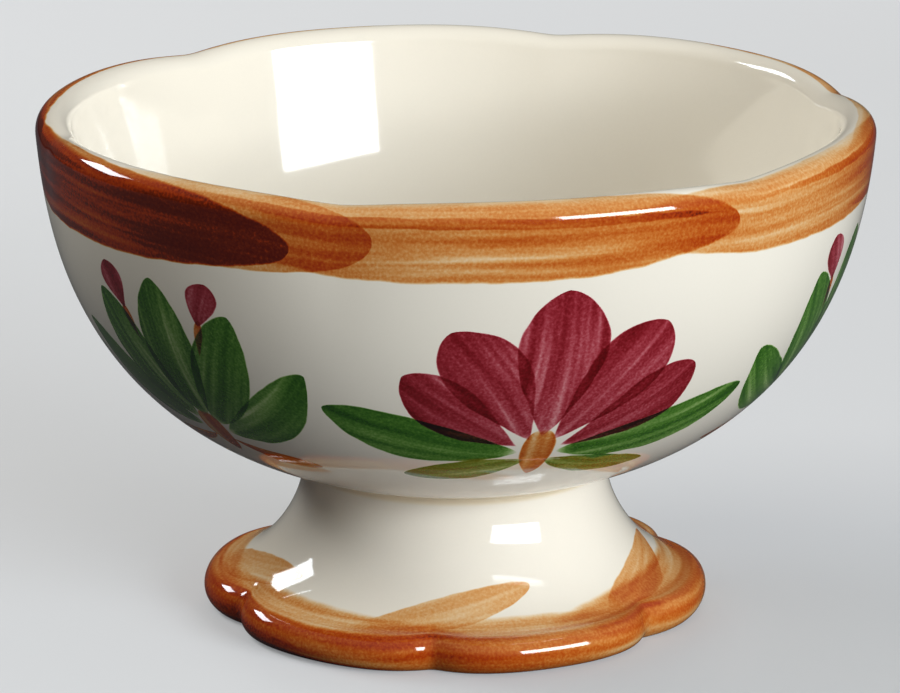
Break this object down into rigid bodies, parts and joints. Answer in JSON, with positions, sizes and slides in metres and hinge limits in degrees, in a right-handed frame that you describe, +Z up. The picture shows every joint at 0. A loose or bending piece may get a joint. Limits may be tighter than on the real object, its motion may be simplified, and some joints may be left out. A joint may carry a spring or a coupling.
{
  "type": "sherbet dish",
  "caption": "Footed sherbet dish in glazed earthenware: a deep round bowl with a softly lobed rim on a short hollow flared foot with a lobed edge, for ices and desserts.",
  "frame": {"origin": "on the table under the middle of the dish, at the centre of the ring that it stands on", "axes": "+Z up along the common axis of bowl and foot, -Y through a notch of the rim, +X through the middle of a lobe of the rim"},
  "size_m": [0.1016, 0.1004, 0.0624],
  "materials": {
    "bowl_glaze": "clear gloss glaze over cream earthenware with brushed underglaze colour",
    "slip": "beige clay slip under the same clear glaze",
    "foot_glaze": "clear gloss glaze over cream earthenware with a brushed brown edge"
  },
  "bodies": {
    "root": {"bowl": "bowl_glaze", "slip_joint": "slip", "foot": "foot_glaze"}
  },
  "joints": []
}
